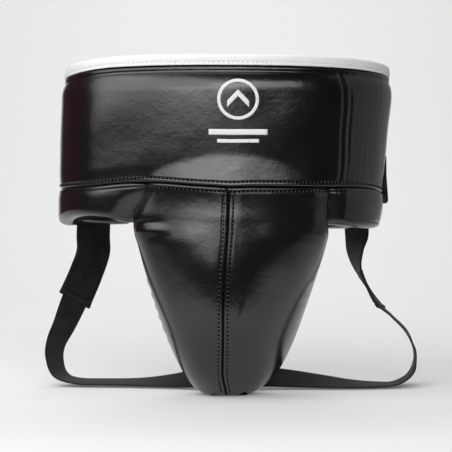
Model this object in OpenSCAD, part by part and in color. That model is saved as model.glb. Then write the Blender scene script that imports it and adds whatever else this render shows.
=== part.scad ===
// Groin protector for boxing and martial arts: a padded waist band with hip pads, a padded rigid
// cup, two leg straps and a rear elastic belt with a hook-and-loop end.
// Millimetres. +Z is up, the front faces -Y, and +X is to the right when the front is looked at.
// The origin is on the floor, at the front of the foot of the cup.

/* [Waist band] */
// Half of the width of the band across its outer face
band_half_w = 168; // [162:1:174]
// Half of the depth of the band from front to rear
band_half_d = 112; // [106:1:118]
// Squareness of the band in plan: 2 is an ellipse
band_square = 2.3; // [2:0.1:2.8]
// Height of the top edge of the white binding
top_z = 336; // [330:1:345]
// Height of the seam between the band and the lower panels
seam_z = 207; // [200:1:212]
// Angle from the front at which each wing ends
wing_end = 136; // [130:1:140]
// How far the top edge falls toward the wing ends
wing_drop = 30; // [0:1:40]
// Thickness of the padded wall
pad_t = 16; // [12:1:20]
// Thickness of the unpadded edge under the binding
edge_t = 4; // [3.6:0.1:5]
// How far the padding swells out between its seams at the front
pad_crown = 6.5; // [3:0.5:8]
// How far the padding swells out at the sides
side_crown = 4.5; // [3:0.5:6.5]
// Height of the binding
binding_h = 11; // [9:1:13]

/* [Hip pads] */
// Height of the lower edge of the hip pads
hip_z = 171; // [166:1:176]
// Rise of the arch in the lower edge
hip_arch = 8; // [0:1:10]

/* [Cup] */
// Half of the angle that the cup takes of the band's front
cup_angle = 45.6; // [42:0.2:48]
// Furthest reach of the cup in front of its foot
cup_reach = 54; // [44:1:58]
// Half of the width of the cup at its foot
cup_foot_w = 19; // [16:1:26]
// Half of the width of the cup where it leaves the band
cup_top_w = 93; // [88:1:96]
// Full thickness of the cup's padding, shell and lining
cup_t = 23; // [19:1:25]

/* [Straps] */
// Width of the doubled webbing tab of each leg strap
leg_tab_w = 44; // [38:1:50]
// Width of the elastic of each leg strap
leg_strap_w = 34; // [28:1:38]
// Height of the rear belt
belt_h = 50; // [46:1:56]
// Height of the belt's lower edge
belt_z = 200; // [196:1:204]

/* [Hidden] */
leather = 1.4;
lining = 1.2;
gap = 0.15;
webbing = 2.2;
elastic = 1.8;
band_mid_y = band_half_d - 40;
pad_zone = 17;
binding_t = 1.1;
cup_fade_z = 174;
cup_full_z = 150;
hip_angle = cup_angle + 0.8;
hinge_gap = 0.7;
belt_start = -wing_end - 1.8;
belt_end = -248;
tab_end = -272;
side_steps = 40;
cup_steps = 16;

// ---- small helpers ----

function clamp(x) = max(0, min(1, x));
function smooth(x) = let (c = clamp(x)) c * c * (3 - 2 * c);
function mix(a, b, k) = a + (b - a) * k;
function steps(a, b, n) = [for (i = [0:n]) mix(a, b, i / n)];
function back(list) = [for (i = [len(list) - 1:-1:0]) list[i]];
function mirrored(rows) = [for (r = back(rows)) [for (side = r) [for (p = side) [-p.x, p.y, p.z]]]];

// A closed wall: each row holds its outer points and its inner points, and the rows follow a path.
// Both faces are cut into triangles along the same diagonals, so that nested walls don't touch.
module wall_solid(rows, ring = false) {
    n = len(rows);
    m = len(rows[0][0]);
    k = 2 * m;
    points = [for (r = rows) for (p = concat(r[0], back(r[1]))) p];
    spans = ring ? n : n - 1;
    sides = [
        for (i = [0:spans - 1], j = [0:k - 1])
            let (a = i * k, b = ((i + 1) % n) * k, e = (j + 1) % k)
            each j >= m
                ? [[a + j, a + e, b + j], [a + e, b + e, b + j]]
                : [[a + j, b + e, b + j], [a + j, a + e, b + e]]
    ];
    last = (n - 1) * k;
    caps = ring ? [] : [
        for (j = [0:m - 2])
            let (p = k - 2 - j, q = k - 1 - j)
            each [
                [j, q, p], [j, p, j + 1],
                [last + j, last + p, last + q], [last + j, last + j + 1, last + p]
            ]
    ];
    polyhedron(points, concat(sides, caps));
}

// ---- the band's shape ----

function plan_r(t) = pow(
    pow(abs(sin(t)) / band_half_w, band_square) + pow(abs(cos(t)) / band_half_d, band_square),
    -1 / band_square
);
function plan(t) = [plan_r(t) * sin(t), band_mid_y - plan_r(t) * cos(t)];
function plan_normal(t) = let (d = plan(t + 0.5) - plan(t - 0.5)) [d.y, -d.x] / norm(d);
function on_wall(t, off, z) = let (p = plan(t) + off * plan_normal(t)) [p.x, p.y, z];

// 1 over the front and sides, falling to 0 at the wing ends
function fullness(t) = 1 - smooth((abs(t) - 100) / (wing_end - 100));
function top_edge(t) = top_z - wing_drop * smooth((abs(t) - 80) / (wing_end - 80));
function swell(v) = 1 - pow(abs(2 * v - 1), 6);
function crown_at(t) = mix(pad_crown, side_crown, smooth((abs(t) - 35) / 40)) * (0.35 + 0.65 * fullness(t));
function crown(t, v) = v > 1 ? 0 : crown_at(t) * swell(v);
function depth(t, v) = edge_t + (pad_t - edge_t) * (0.35 + 0.65 * fullness(t)) * (1 - smooth((v - 0.78) / 0.22));
function band_z(t, v) = mix(seam_z + 0.4, top_edge(t) - pad_zone, v);
function band_point(t, v, off) = on_wall(t, off, band_z(t, v));
pad_levels = [0, 0.035, 0.1, 0.25, 0.5, 0.75, 0.9, 0.965, 1];
cover_levels = concat(pad_levels, [1.11]);

function band_rows(levels, outer, inner) = [
    for (t = steps(-wing_end, wing_end, side_steps)) [
        [for (v = levels) band_point(t, v, outer(t, v))],
        [for (v = levels) band_point(t, v, inner(t, v))]
    ]
];

module waist_outer_cover() {
    color("#17171a") wall_solid(band_rows(
        cover_levels,
        function(t, v) crown(t, v),
        function(t, v) crown(t, v) - leather
    ));
}

module waist_foam() {
    color("#d8d2c2") wall_solid(band_rows(
        pad_levels,
        function(t, v) crown(t, v) - leather - gap,
        function(t, v) -depth(t, v) + lining + gap
    ));
}

module waist_lining() {
    color("#222225") wall_solid(band_rows(
        cover_levels,
        function(t, v) -depth(t, v) + lining,
        function(t, v) -depth(t, v)
    ));
}

// The binding is a U in section, folded over the cover and the lining.
module top_binding() {
    color("#f0efea") wall_solid([
        for (t = steps(-wing_end, wing_end, side_steps))
            let (z = top_edge(t), low = z - binding_h, lip = binding_t, out = gap + binding_t)
            [
                [
                    on_wall(t, out * 0.8, low), on_wall(t, out, low + 2), on_wall(t, out, z - 2.5),
                    on_wall(t, -edge_t / 2, z), on_wall(t, -edge_t - out, z - 2.5),
                    on_wall(t, -edge_t - out, low + 2), on_wall(t, -edge_t - out * 0.8, low)
                ],
                [
                    on_wall(t, gap, low), on_wall(t, gap, low + 2), on_wall(t, gap, z - 2 - lip),
                    on_wall(t, -edge_t / 2, z - 1.5 - lip), on_wall(t, -edge_t - gap, z - 2 - lip),
                    on_wall(t, -edge_t - gap, low + 2), on_wall(t, -edge_t - gap, low)
                ]
            ]
    ]);
}

// The folded edge that stands in the seam between the band and the lower panels.
module waist_seam_welt() {
    color("#101012") wall_solid([
        for (t = steps(-wing_end + 1, wing_end - 1, side_steps))
            [
                [on_wall(t, 1, seam_z - 0.3), on_wall(t, 1, seam_z + 0.3)],
                [on_wall(t, -1.2, seam_z - 0.3), on_wall(t, -1.2, seam_z + 0.3)]
            ]
    ]);
}

// ---- hip pads, one each side of the cup ----

hip_levels = [0, 0.1, 0.3, 0.5, 0.7, 0.86, 1];
function hip_low(t) = hip_z + hip_arch * sin(180 * clamp((abs(t) - hip_angle) / 44))
    + 10 * smooth((abs(t) - 129) / (wing_end - 129));
function hip_out(t, v) = crown_at(t) * (1 - pow(abs(2 * v - 1), 4)) - 4.5 * pow(v, 6);
function hip_in(t, v) = -depth(t, 0) + 3.5 * (0.35 + 0.65 * fullness(t)) * pow(v, 6);
function hip_z_at(t, v) = mix(seam_z - 0.4, hip_low(t), v);
function hip_rows(outer, inner) = [
    for (t = steps(hip_angle, wing_end, 18)) [
        [for (v = hip_levels) on_wall(t, outer(t, v), hip_z_at(t, v))],
        [for (v = hip_levels) on_wall(t, inner(t, v), hip_z_at(t, v))]
    ]
];
hip_cover_rows = hip_rows(function(t, v) hip_out(t, v), function(t, v) hip_out(t, v) - leather);
hip_foam_rows = hip_rows(
    function(t, v) hip_out(t, v) - leather - gap,
    function(t, v) hip_in(t, v) + lining + gap
);
hip_lining_rows = hip_rows(function(t, v) hip_in(t, v) + lining, function(t, v) hip_in(t, v));

module hip_cover_right() { color("#17171a") wall_solid(hip_cover_rows); }
module hip_cover_left() { color("#17171a") wall_solid(mirrored(hip_cover_rows)); }
module hip_foam_right() { color("#d8d2c2") wall_solid(hip_foam_rows); }
module hip_foam_left() { color("#d8d2c2") wall_solid(mirrored(hip_foam_rows)); }
module hip_lining_right() { color("#222225") wall_solid(hip_lining_rows); }
module hip_lining_left() { color("#222225") wall_solid(mirrored(hip_lining_rows)); }

// ---- the cup ----

// Height of level q, from 0 at the seam to 1 at the foot, closer together toward the foot
function cup_z(q) = 0.8 + (seam_z - 1.2) * pow(1 - q, 1.5);
function cup_half_w(z) = min(98, cup_foot_w + (cup_top_w - cup_foot_w) * sqrt(z / cup_full_z));
cup_belly_z = 135;
function cup_front(z) =
    -cup_reach * pow(1 - pow(1 - min(z, cup_belly_z) / cup_belly_z, 3.4), 0.8)
    + 3.4 * smooth((z - cup_belly_z) / 60);
function cup_rim(z) = 22 - 46 * smooth((z - 72) / 135);
// The padding is full at the middle, and thinner at the rim and toward the foot.
function cup_in(s, z, t) = t * (1 - 0.55 * pow(abs(s), 3)) * (0.45 + 0.55 * smooth(z / 55));

function cup_section(s, z, t) =
    let (
        d = cup_in(s, z, t),
        across = sin(85 * s) / sin(85),
        round = (1 - cos(85 * s)) / (1 - cos(85)),
        front = cup_front(z) + d
    )
    [(cup_half_w(z) - d) * across, front + (cup_rim(z) - front) * round];

function cup_on_wall(s, z, t) =
    let (
        a = cup_angle * s,
        bulge = pad_crown * smooth((seam_z - z) / 25) * (1 - pow(abs(s), 6)),
        p = on_wall(a, bulge - cup_in(s, z, t), z)
    )
    [p.x, p.y];

// t is the depth under the outer face
function cup_point(s, q, t) =
    let (
        z = cup_z(q),
        k = smooth((z - cup_full_z) / (cup_fade_z - cup_full_z)),
        p = mix(cup_section(s, z, t), cup_on_wall(s, z, t), k)
    )
    [p.x, p.y, z + cup_in(s, z, t) * (1 - smooth(z / 60))];

// All of the cup's layers share one grid of cup_steps each way, so that they nest without touching.
// A layer that starts at the middle stops just short of it, to leave room for its mirror image.
function cup_rows(s0, s1, q0, q1, t0, t1) =
    let (qs = steps(q0, q1, round((q1 - q0) * cup_steps)))
    [
        for (step = steps(s0, s1, round((s1 - s0) * cup_steps / 2)))
            let (s = s0 == 0 ? max(step, 0.004) : step)
            [[for (q = qs) cup_point(s, q, t0)], [for (q = qs) cup_point(s, q, t1)]]
    ];

cup_cover_rows = cup_rows(0, 1, 0, 1, 0, leather);
foam_end = 0.5 * cup_t;
shell_start = foam_end + gap;
shell_end = shell_start + 3;
pad_end = cup_t - lining - gap;

module cup_cover_right() { color("#17171a") wall_solid(back(cup_cover_rows)); }
module cup_cover_left() { color("#17171a") wall_solid(mirrored(back(cup_cover_rows))); }

module cup_foam() {
    color("#d8d2c2") wall_solid(back(cup_rows(-1, 1, 0, 1, leather + gap, foam_end)));
}

module cup_shell() {
    color("#b9bcc0") wall_solid(back(cup_rows(-0.75, 0.75, 0.1875, 0.875, shell_start, shell_end)));
}

module cup_inner_pad() {
    color("#d8d2c2") wall_solid(back(cup_rows(-1, 1, 0, 1, shell_end + gap, pad_end)));
}

module cup_lining() {
    color("#222225") wall_solid(back(cup_rows(-1, 1, 0, 1, cup_t - lining, cup_t)));
}

// A thin folded edge that stands a little proud of the seam between the cup's two covers.
module centre_seam_welt() {
    color("#101012") wall_solid([
        for (q = steps(0.0625, 0.9375, cup_steps - 2)) [
            [cup_point(-0.012, q, -0.6), cup_point(0.012, q, -0.6)],
            [cup_point(-0.012, q, -0.15), cup_point(0.012, q, -0.15)]
        ]
    ]);
}

// Leather patch under the tail of the cup, where both leg straps are sewn on.
module crotch_anchor() {
    color("#151517") union() {
        linear_extrude(0.6) polygon([[-17, -2.5], [17, -2.5], [20, 6], [20, 30], [18, 66], [-18, 66], [-20, 30], [-20, 6]]);
        translate([-18, 26, 0]) cube([36, 40, 3]);
        translate([-16, 42, 0]) cube([32, 24, 8]);
    }
}

// ---- the mark on the front: a ring round a chevron, over two bars ----

emblem_z = 291.5;
emblem_x = 7;
function face_angle(x) = atan2(x, band_half_d);
function on_face(x, z, off) =
    let (t = face_angle(x * 1.06), v = (z - seam_z - 0.4) / (top_z - pad_zone - seam_z - 0.4))
    on_wall(t, crown(t, v) + off, z);
function mark_rows(points_in, points_out) = [
    for (i = [0:len(points_in) - 1])
        let (a = points_in[i], b = points_out[i])
        [
            [on_face(emblem_x + a.x, emblem_z + a.y, 0.5), on_face(emblem_x + b.x, emblem_z + b.y, 0.5)],
            [on_face(emblem_x + a.x, emblem_z + a.y, 0.2), on_face(emblem_x + b.x, emblem_z + b.y, 0.2)]
        ]
];
function circle_points(r) = [for (i = [0:35]) [r * cos(10 * i), r * sin(10 * i)]];

module front_emblem() {
    color("#efefef") {
        wall_solid(mark_rows(circle_points(20), circle_points(16.5)), ring = true);
        wall_solid(mark_rows(
            [[-10, -6], [0, 4], [10, -6]],
            [[-10, 0], [0, 10], [10, 0]]
        ));
        for (bar = [[-27, 27, -32], [-20, 20, -39]]) {
            wall_solid(mark_rows(
                [for (x = steps(bar[0], bar[1], 8)) [x, bar[2] - 2]],
                [for (x = steps(bar[0], bar[1], 8)) [x, bar[2] + 2]]
            ));
        }
    }
}

// ---- ribbons: a route of points, with the direction of the ribbon's width at each ----

// A Catmull-Rom curve through four points in a row
function curve(a, b, c, d, k) = 0.5 * (2 * b + (c - a) * k + (2 * a - 5 * b + 4 * c - d) * k * k
    + (3 * b - a - 3 * c + d) * k * k * k);
function along(list, u) =
    let (n = len(list) - 1, i = min(floor(u * n), n - 1), k = u * n - i)
    curve(list[max(i - 1, 0)], list[i], list[i + 1], list[min(i + 2, n)], k);
function unit(v) = v / norm(v);

function ribbon_rows(route, across, u0, u1, n, w, thick) = [
    for (u = steps(u0, u1, n))
        let (
            p = along(route, u),
            dir = unit(along(route, min(u + 0.01, 1)) - along(route, max(u - 0.01, 0))),
            raw = along(across, u),
            side = unit(raw - dir * (raw * dir)),
            face = cross(dir, side)
        )
        [
            [p - side * w / 2 + face * thick / 2, p + side * w / 2 + face * thick / 2],
            [p - side * w / 2 - face * thick / 2, p + side * w / 2 - face * thick / 2]
        ]
];

// Each route runs from the lower edge of a wing down to the floor and in to the tail of the cup.
left_route = [
    [-144, 131, 159.5], [-144, 129, 140], [-152, 126, 116], [-162.5, 121, 91], [-173.5, 112, 64],
    [-182, 103, 44], [-183, 96, 27], [-176, 89, 11], [-158, 85, 4.6], [-125, 81, 4],
    [-90, 76, 4.4], [-58, 68, 6.8], [-27, 57, 11]
];
left_across = [
    [0.79, 0.61, 0], [0.79, 0.61, 0], [0.8, 0.6, 0.03], [0.79, 0.61, 0.05], [0.66, 0.75, 0.03],
    [0.52, 0.85, 0], [0.45, 0.89, 0], [0.33, 0.94, 0.06], [0, 0.99, 0.08], [0, 0.99, 0.08],
    [0, 0.985, 0.13], [0, 0.95, 0.28], [0, 0.88, 0.47]
];
right_route = [
    [146, 131, 159.5], [144.5, 130, 142], [147.5, 127, 122], [157.5, 122, 101], [168.5, 116, 83],
    [181.5, 110, 71], [194.4, 102, 57], [201, 92, 41], [201, 82, 27], [194, 73, 13],
    [179, 64, 4.4], [160, 59, 2.8], [130, 56, 4], [98, 56, 6.8], [64, 56, 10], [30, 56, 12]
];
right_across = [
    [-0.48, 0.88, 0], [-0.3, 0.95, 0], [-0.04, 1, 0], [0.12, 0.99, 0], [0.22, 0.97, 0],
    [0.1, 0.99, 0.05], [0.16, 0.97, 0.05], [0.14, 0.98, 0.05], [0.14, 0.98, 0.05], [0.1, 0.99, 0.02],
    [0.03, 0.99, 0], [0, 0.99, 0.04], [0, 0.98, 0.15], [0, 0.94, 0.31], [0, 0.89, 0.45], [0, 0.84, 0.54]
];
left_tab_share = 0.26;
right_tab_share = 0.28;

module leg_tab_left() {
    color("#1d1d20") wall_solid(ribbon_rows(left_route, left_across, 0, left_tab_share, 12, leg_tab_w, webbing));
}

module leg_tab_right() {
    color("#1d1d20") wall_solid(ribbon_rows(
        right_route, right_across, 0, right_tab_share, 12, leg_tab_w, webbing
    ));
}

module leg_strap_left() {
    color("#141416") wall_solid(ribbon_rows(
        left_route, left_across, left_tab_share + 0.003, 1, 44, leg_strap_w, elastic
    ));
}

module leg_strap_right() {
    color("#141416") wall_solid(ribbon_rows(
        right_route, right_across, right_tab_share + 0.003, 1, 48, leg_strap_w, elastic
    ));
}

// The sewn-in upper end of each leg tab, on the inside of the wing.
function anchor_rows(t0, t1) = [
    for (t = steps(t0, t1, 5)) [
        [on_wall(t, -depth(t, 0) - 0.3, 179), on_wall(t, -depth(t, 0) - 0.3, 203)],
        [on_wall(t, -depth(t, 0) - 0.3 - webbing, 179), on_wall(t, -depth(t, 0) - 0.3 - webbing, 203)]
    ]
];
module strap_anchor_right() { color("#1d1d20") wall_solid(anchor_rows(106, 122)); }
module strap_anchor_left() { color("#1d1d20") wall_solid(mirrored(anchor_rows(106, 122))); }

// ---- the rear belt and its hook-and-loop end ----

function belt_off(t) = 2 + 5.6 * smooth((-198 - t) / 40);
function strip_rows(t0, t1, n, off, thick, z0, z1) = [
    for (t = steps(t0, t1, n)) [
        [on_wall(t, off(t) + thick, z0), on_wall(t, off(t) + thick, z1)],
        [on_wall(t, off(t), z0), on_wall(t, off(t), z1)]
    ]
];

module belt_anchor() {
    color("#1d1d20") wall_solid(strip_rows(
        -wing_end + 0.5, -119, 6, function(t) crown(t, 0.4) + 0.3, webbing, belt_z, belt_z + belt_h
    ));
}

module rear_belt() {
    color("#161618") wall_solid(back(strip_rows(
        belt_start, belt_end, 32, function(t) belt_off(t), elastic, belt_z, belt_z + belt_h
    )));
}

module closure_tab() {
    color("#191a20") wall_solid(back(strip_rows(
        belt_end - 2 * hinge_gap, tab_end, 8, function(t) belt_off(t), elastic, belt_z, belt_z + belt_h
    )));
}

module hook_patch() {
    color("#2a2a2e") wall_solid(back(strip_rows(
        belt_end - 2 * hinge_gap - 1, tab_end + 1, 7, function(t) belt_off(t) - 1.2, 1.05,
        belt_z + 12, belt_z + belt_h - 3
    )));
}

module loop_patch() {
    color("#1f1f22") wall_solid([
        for (t = steps(84, 118, 8)) [
            [for (v = [0.08, 0.2, 0.36]) band_point(t, v, crown(t, v) + 0.35 + 1.1)],
            [for (v = [0.08, 0.2, 0.36]) band_point(t, v, crown(t, v) + 0.35)]
        ]
    ]);
}

waist_outer_cover();
waist_foam();
waist_lining();
top_binding();
waist_seam_welt();
hip_cover_left();
hip_cover_right();
hip_foam_left();
hip_foam_right();
hip_lining_left();
hip_lining_right();
cup_cover_left();
cup_cover_right();
centre_seam_welt();
cup_foam();
cup_shell();
cup_inner_pad();
cup_lining();
crotch_anchor();
front_emblem();
strap_anchor_left();
strap_anchor_right();
leg_tab_left();
leg_tab_right();
leg_strap_left();
leg_strap_right();
belt_anchor();
rear_belt();
closure_tab();
hook_patch();
loop_patch();
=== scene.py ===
"""Groin protector for boxing: the visual model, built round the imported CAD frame."""

import math

import bpy
import numpy as np
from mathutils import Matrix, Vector


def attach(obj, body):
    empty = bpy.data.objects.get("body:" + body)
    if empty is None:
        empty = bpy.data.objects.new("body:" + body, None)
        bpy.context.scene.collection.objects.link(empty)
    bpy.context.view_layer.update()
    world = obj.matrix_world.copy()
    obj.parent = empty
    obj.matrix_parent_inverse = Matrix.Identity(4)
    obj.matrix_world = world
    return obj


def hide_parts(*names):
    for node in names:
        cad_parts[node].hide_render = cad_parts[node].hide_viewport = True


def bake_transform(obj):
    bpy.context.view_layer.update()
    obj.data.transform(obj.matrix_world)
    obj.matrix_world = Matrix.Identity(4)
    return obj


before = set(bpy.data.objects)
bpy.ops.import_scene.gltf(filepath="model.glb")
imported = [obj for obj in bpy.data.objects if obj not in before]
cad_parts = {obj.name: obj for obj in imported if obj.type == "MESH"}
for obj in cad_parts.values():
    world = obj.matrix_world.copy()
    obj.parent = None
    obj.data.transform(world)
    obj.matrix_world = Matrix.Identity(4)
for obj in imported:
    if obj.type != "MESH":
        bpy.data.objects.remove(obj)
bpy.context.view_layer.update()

MM = 0.001

# ---- driving sizes, in millimetres and degrees: mostly the CAD's; the cup's belly is a little fuller ----
BAND_HALF_W = 168
BAND_HALF_D = 112
BAND_SQUARE = 2.3  # power of the rounded ellipse that the band follows
BAND_MID_Y = BAND_HALF_D - 40
TOP_Z = 336.2
SEAM_Z = 207
WING_END = 136  # angle of a wing's end from the front
WING_DROP = 30
PAD_T = 16
EDGE_T = 4
CROWN = 6.5
SIDE_CROWN = 4.5
BINDING_H = 11
PAD_ZONE = 17  # height of the thin strip above the padding
HIP_Z = 171
CUP_ANGLE = 45.6
CUP_REACH = 57.5
CUP_FOOT_W = 19
CUP_TOP_W = 93
CUP_FULL_Z = 150  # the cup stands free below this, and follows the band above CUP_FADE_Z
CUP_BELLY_Z = 126
CUP_FADE_Z = 174
CUP_T = 23
CUP_SQUARE = 1.15
CUP_SWEEP = 85
CUP_FOOT_Z = 0.8
CUP_RISE = SEAM_Z - 1.2
CUP_GRADING = 1.5  # crowds the cup's levels toward its foot
JOINT_OUT = 0.2  # share of the seam's stand-off left where the cup and a hip pad meet
COVER_T = 0.98
COVER_STAND = 0.84  # height of the cup's cover above the plain cup
LINING = 1.2
BELT_Z = 200
BELT_H = 50
BELT_MID_Z = BELT_Z + BELT_H / 2
STITCH_PITCH = 4.1
ROW_OFF = 4.1  # from a seam to each row of stitches beside it
BINDING_OUT = 1.35
BINDING_ROUND = 3.4
BINDING_ROW = 7.6  # from the top edge down to the binding's stitches
LEAN = 0.15
LEAN_BEND = 1.5
END_MM_PER_DEGREE = 2.7  # distance along the wall at a wing's end


# ---- small helpers ----

def smooth(x):
    c = np.clip(x, 0, 1)
    return c * c * (3 - 2 * c)


def mix(a, b, k):
    return a + (b - a) * k


def bell(x, width):
    return np.exp(-((x / width) ** 2))


def sind(a):
    return np.sin(np.radians(a))


def cosd(a):
    return np.cos(np.radians(a))


def unit(rows):
    return rows / np.linalg.norm(rows, axis=1, keepdims=True)


def run_along(points):
    """Distance along a path to each of its points."""
    return np.concatenate([[0], np.cumsum(np.linalg.norm(np.diff(points, axis=0), axis=1))])


def ripple(a, b, seed, scale):
    """Slow unevenness of hand-stuffed leather, about -1 to 1, from a few waves in two directions."""
    rng = np.random.default_rng(seed)
    total = np.zeros(np.broadcast(a, b).shape)
    for _ in range(7):
        ka, kb = rng.normal(0, 1 / scale, 2)
        total = total + np.sin(ka * a + kb * b + rng.uniform(0, 6.28)) * rng.uniform(0.4, 1)
    return total / 3.2


# ---- mesh builders ----

def turn_outward(mesh):
    """Flip the faces of a closed mesh that look inward."""
    mesh.calc_loop_triangles()
    corners = np.empty(len(mesh.loop_triangles) * 3, np.int32)
    mesh.loop_triangles.foreach_get("vertices", corners)
    places = np.empty(len(mesh.vertices) * 3, np.float32)
    mesh.vertices.foreach_get("co", places)
    a, b, c = places.reshape(-1, 3).astype(float)[corners.reshape(-1, 3)].transpose(1, 0, 2)
    if np.sum(a * np.cross(b, c)) < 0:
        mesh.flip_normals()


def add_object(name, data):
    obj = bpy.data.objects.new(name, data)
    bpy.context.scene.collection.objects.link(obj)
    return obj


def make_object(name, points, faces, material, flat=None):
    """points are in millimetres. flat is each point's place on the flat material, in millimetres."""
    mesh = bpy.data.meshes.new(name)
    mesh.from_pydata((np.asarray(points, float) * MM).tolist(), [], faces)
    mesh.update()
    turn_outward(mesh)
    if flat is not None:
        layer = mesh.attributes.new("flat", "FLOAT_VECTOR", "POINT")
        layer.data.foreach_set("vector", (np.asarray(flat, float) * MM).astype(np.float32).ravel())
    mesh.polygons.foreach_set("use_smooth", [True] * len(mesh.polygons))
    mesh.materials.append(material)
    return add_object(name, mesh)


def grid_faces(nu, nv, start, flip):
    faces = []
    for i in range(nu - 1):
        a, b = start + i * nv, start + (i + 1) * nv
        for j in range(nv - 1):
            quad = (a + j, b + j, b + j + 1, a + j + 1)
            faces.append(quad[::-1] if flip else quad)
    return faces


def ring_angles(sides):
    return np.linspace(0, 2 * math.pi, sides + 1)[:-1]


def tube_faces(rings, sides, start=0):
    """Faces of a tube through rings of points, with its ends closed."""
    faces = []
    for i in range(rings - 1):
        a, b = start + i * sides, start + (i + 1) * sides
        for j in range(sides):
            k = (j + 1) % sides
            faces.append((a + j, a + k, b + k, b + j))
    last = start + (rings - 1) * sides
    faces.append(tuple(range(start, start + sides))[::-1])
    faces.append(tuple(range(last, last + sides)))
    return faces


def shell(name, outer, inner, material, flip=False):
    """A closed wall between two grids of the same shape."""
    nu, nv = outer.shape[:2]
    count = nu * nv
    faces = grid_faces(nu, nv, 0, flip) + grid_faces(nu, nv, count, not flip)
    rim = [(i, 0) for i in range(nu)] + [(nu - 1, j) for j in range(1, nv)]
    rim += [(i, nv - 1) for i in range(nu - 2, -1, -1)] + [(0, j) for j in range(nv - 2, 0, -1)]
    for k, (i, j) in enumerate(rim):
        m, n = rim[(k + 1) % len(rim)]
        quad = (i * nv + j, count + i * nv + j, count + m * nv + n, m * nv + n)
        faces.append(quad[::-1] if flip else quad)
    points = np.concatenate([outer.reshape(-1, 3), inner.reshape(-1, 3)])
    return make_object(name, points, faces, material)


def normals_of(grid):
    du = np.gradient(grid, axis=0)
    dv = np.gradient(grid, axis=1)
    n = np.cross(du, dv)
    return n / np.maximum(np.linalg.norm(n, axis=2, keepdims=True), 1e-9)


# ---- the band's shape ----

def plan(t):
    r = ((np.abs(sind(t)) / BAND_HALF_W) ** BAND_SQUARE
         + (np.abs(cosd(t)) / BAND_HALF_D) ** BAND_SQUARE) ** (-1 / BAND_SQUARE)
    return r * sind(t), BAND_MID_Y - r * cosd(t)


def on_wall(t, off, z):
    t, off, z = np.broadcast_arrays(*[np.asarray(v, float) for v in (t, off, z)])
    x, y = plan(t)
    x0, y0 = plan(t - 0.5)
    x1, y1 = plan(t + 0.5)
    dx, dy = x1 - x0, y1 - y0
    d = np.hypot(dx, dy)
    return np.stack([x + off * dy / d, y - off * dx / d, z], axis=-1)


def fullness(t):
    return 1 - smooth((np.abs(t) - 100) / (WING_END - 100))


def top_edge(t):
    return TOP_Z - WING_DROP * smooth((np.abs(t) - 80) / (WING_END - 80))


def crown_at(t):
    front = mix(SIDE_CROWN, CROWN, 1 - smooth((np.abs(t) - 35) / 40))
    return front * (0.35 + 0.65 * fullness(t))


def swell(t, v):
    """The padding's bulge: full through the middle, with a crest close under the top edge."""
    x, _ = plan(t)
    over_cup = smooth((arch_z(x) - 211) / 9)
    low = 1 - 0.22 * np.clip(1 - v / 0.16, 0, 1) ** 1.8
    high = 1 - 0.8 * np.clip(1 - (1 - v) / 0.17, 0, 1) ** 2.2
    return mix(low, 1, over_cup) * high


def arch_z(x):
    """Height of the arched bend over the cup, under which the band leans out to meet it."""
    return 238.5 - 22 * ((x - 3) / 77) ** 2


def lean_out(x, z):
    """How far the wall leans out: nothing above the arched bend, and a straight slope under it."""
    drop = (arch_z(x) - z) / LEAN_BEND
    bent = np.log1p(np.exp(np.clip(drop, -30, 30)))
    return LEAN * LEAN_BEND * np.where(drop < 30, bent, drop)


def seam_out(t):
    """How far the waist seam stands out from the plain wall."""
    return crown_at(t) * swell(t, 0.0) + lean_out(plan(t)[0], SEAM_Z)


def depth(t, v):
    thick = (PAD_T - EDGE_T) * (0.35 + 0.65 * fullness(t)) * (1 - smooth((v - 0.78) / 0.22))
    return EDGE_T + thick


def seam_shift(x, t):
    """How the waist seam wanders from its level, as a hand-sewn seam does."""
    return (4.6 * bell(x + 84, 44) - 0.8 * bell(x, 14) - 7.5 * smooth((t - 62) / 36)
            - 1.2 * smooth((-t - 70) / 30))


def cup_shift(z):
    """The cup sits a little to the right of the band's middle."""
    return 3.2 * smooth(z / 30) * (1 - 0.3 * smooth((z - 150) / 40)) * (1 - smooth((z - 198) / 8))


def warp(points):
    """The small lopsidedness of the real thing, put on every layer alike."""
    x, y, z = points[..., 0], points[..., 1], points[..., 2]
    t = np.degrees(np.arctan2(x, BAND_MID_Y - y))
    near_seam = smooth((z - 150) / 40) * (1 - smooth((z - SEAM_Z) / 70))
    dz = seam_shift(x, t) * near_seam
    low = 1 - smooth((z - 190) / 125)
    hip = 3.0 * (1 - smooth((z - 176) / 22))
    lean = smooth((x - 70) / 90) * (2.0 - 11.0 * low - 1.6 * bell(z - 275, 26) - hip)
    lean = lean - 2.5 * low * smooth((-x - 70) / 90)
    side = cup_shift(z) * (1 - smooth((np.abs(x) - 95) / 35)) * smooth((150 - np.abs(t)) / 40)
    drop = (3.5 * smooth((-t - 50) / 35) + 1.6 * smooth((t - 50) / 35)) * smooth((z - 300) / 20)
    return np.stack([x + lean * smooth((z - 140) / 40) + side, y, z + dz - drop], axis=-1)


def fold_profile(d):
    """Height of the leather at distance d from a seam: the groove, and the dip along the stitch line."""
    d = np.abs(d)
    return -1.6 * bell(d, 1.0) - 0.3 * bell(d - 4.3, 1.0)


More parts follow.
